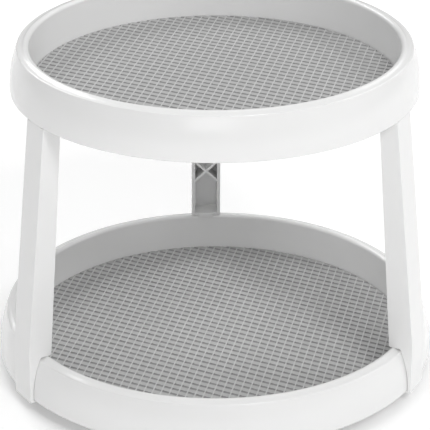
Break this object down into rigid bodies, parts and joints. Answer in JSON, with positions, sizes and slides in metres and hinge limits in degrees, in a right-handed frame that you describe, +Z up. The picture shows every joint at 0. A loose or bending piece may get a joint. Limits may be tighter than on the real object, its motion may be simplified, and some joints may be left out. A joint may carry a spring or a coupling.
{
  "type": "two-tier spice turntable",
  "caption": "Two-tier turntable organiser: round rimmed trays with non-skid mats, joined by channel legs, turning on a ball bearing and base plate.",
  "frame": {"origin": "on the spin axis at the shelf, on the underside of the centre pad", "axes": "+Z up along the spin axis; the rear leg points to +Y; X runs left to right across the two front legs"},
  "size_m": [0.3104, 0.3126, 0.2396],
  "materials": {
    "white_plastic": "moulded, soft gloss",
    "mat_rubber": "light grey non-skid, moulded grid",
    "base_plastic": "fine matte texture",
    "foot_rubber": "matte",
    "steel": "pressed and ground",
    "nylon": "natural, slightly waxy"
  },
  "bodies": {
    "base": {"base_plate": "base_plastic", "foot_pad_1": "foot_rubber", "foot_pad_2": "foot_rubber", "foot_pad_3": "foot_rubber", "foot_pad_4": "foot_rubber", "foot_pad_5": "foot_rubber", "foot_pad_6": "foot_rubber", "pin_cover_pad": "foot_rubber", "lower_race": "steel", "pivot_pin": "steel", "pivot_washer": "nylon", "pin_retainer": "steel"},
    "cage": {"ball_cage": "nylon", "bearing_balls": "steel"},
    "carousel": {"lower_tray": "white_plastic", "upper_race": "steel", "lower_mat": "mat_rubber", "left_leg": "white_plastic", "right_leg": "white_plastic", "rear_leg": "white_plastic", "upper_tray": "white_plastic", "upper_mat": "mat_rubber"}
  },
  "joints": [
    {"name": "carousel_spin", "type": "hinge", "parent": "base", "child": "carousel", "pos_m": [0, 0, 0], "axis": [0, 0, 1], "continuous": true},
    {"name": "cage_spin", "type": "hinge", "parent": "base", "child": "cage", "pos_m": [0, 0, 0], "axis": [0, 0, 1], "continuous": true}
  ],
  "couplings": [
    {"joint": "cage_spin", "follows": "carousel_spin", "ratio": 0.5}
  ]
}
